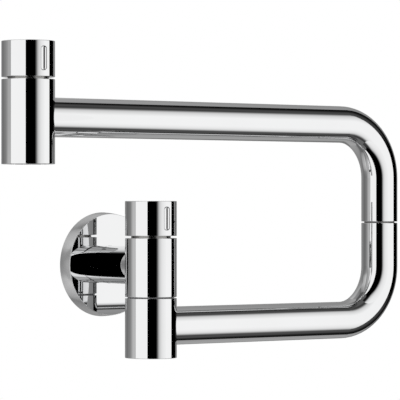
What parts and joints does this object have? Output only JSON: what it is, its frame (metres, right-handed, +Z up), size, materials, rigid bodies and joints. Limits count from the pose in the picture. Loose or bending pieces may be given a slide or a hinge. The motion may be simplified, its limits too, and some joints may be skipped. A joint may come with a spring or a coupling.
{
  "type": "wall mounted pot filler",
  "caption": "Wall mounted pot filler tap: round flange, upright column with a valve knob, two bent tube arms with a swivel joint between them, and an outlet column with its own valve knob.",
  "frame": {"origin": "mouth of the threaded water inlet, in the middle of the flange's back, on the wall", "axes": "+Z up, -Y straight out from the wall, +X along the wall towards the joint of the folded arms"},
  "size_m": [0.3395, 0.0745, 0.2099],
  "materials": {
    "chrome": "polished chrome plate",
    "brass": "machined brass",
    "ceramic": "lapped white ceramic",
    "rubber": "black rubber",
    "steel": "plain stainless steel",
    "slide_plastic": "dark slide plastic",
    "jet_plastic": "light grey plastic"
  },
  "bodies": {
    "wall_mount": {"wall_flange": "chrome", "flange_seal": "rubber", "flange_grip_ring": "rubber", "inlet_stub": "chrome", "inlet_insert": "brass", "valve_body": "chrome", "main_cartridge_housing": "brass", "main_seat_seal": "rubber", "main_fixed_disc": "ceramic", "main_collar_seal": "rubber", "main_retaining_nut": "chrome", "swivel_spigot": "brass", "swivel_seals": "rubber", "swivel_washer": "slide_plastic", "swivel_thrust_washer": "slide_plastic", "swivel_retaining_ring": "steel"},
    "main_knob": {"main_knob": "chrome", "main_spindle": "brass", "main_turning_disc": "ceramic", "main_spindle_clip": "steel", "main_knob_screw": "steel"},
    "lower_arm": {"swivel_sleeve": "chrome", "sleeve_cap": "chrome", "lower_arm_tube": "chrome", "joint_bush": "brass"},
    "upper_arm": {"upper_arm_tube": "chrome", "joint_spigot": "chrome", "joint_washer": "slide_plastic", "joint_seals": "rubber", "joint_snap_ring": "steel", "outlet_body": "chrome", "outlet_cartridge_housing": "brass", "outlet_seat_seal": "rubber", "outlet_fixed_disc": "ceramic", "outlet_collar_seal": "rubber", "outlet_retaining_nut": "chrome", "aerator_housing": "chrome", "aerator_insert": "jet_plastic", "aerator_seal": "rubber"},
    "outlet_knob": {"outlet_knob": "chrome", "outlet_spindle": "brass", "outlet_turning_disc": "ceramic", "outlet_spindle_clip": "steel", "outlet_knob_screw": "steel"}
  },
  "joints": [
    {"name": "main_valve", "type": "hinge", "parent": "wall_mount", "child": "main_knob", "pos_m": [0, -0.055, 0.02], "axis": [0, 0, 1], "range_deg": [0, 90]},
    {"name": "column_swivel", "type": "hinge", "parent": "wall_mount", "child": "lower_arm", "pos_m": [0, -0.055, -0.0219], "axis": [0, 0, 1], "range_deg": [-180, 0]},
    {"name": "arm_joint", "type": "hinge", "parent": "lower_arm", "child": "upper_arm", "pos_m": [0.208, -0.055, 0.02865], "axis": [0, 0, 1], "continuous": true},
    {"name": "outlet_valve", "type": "hinge", "parent": "upper_arm", "child": "outlet_knob", "pos_m": [-0.101, -0.055, 0.1243], "axis": [0, 0, 1], "range_deg": [0, 90]}
  ]
}
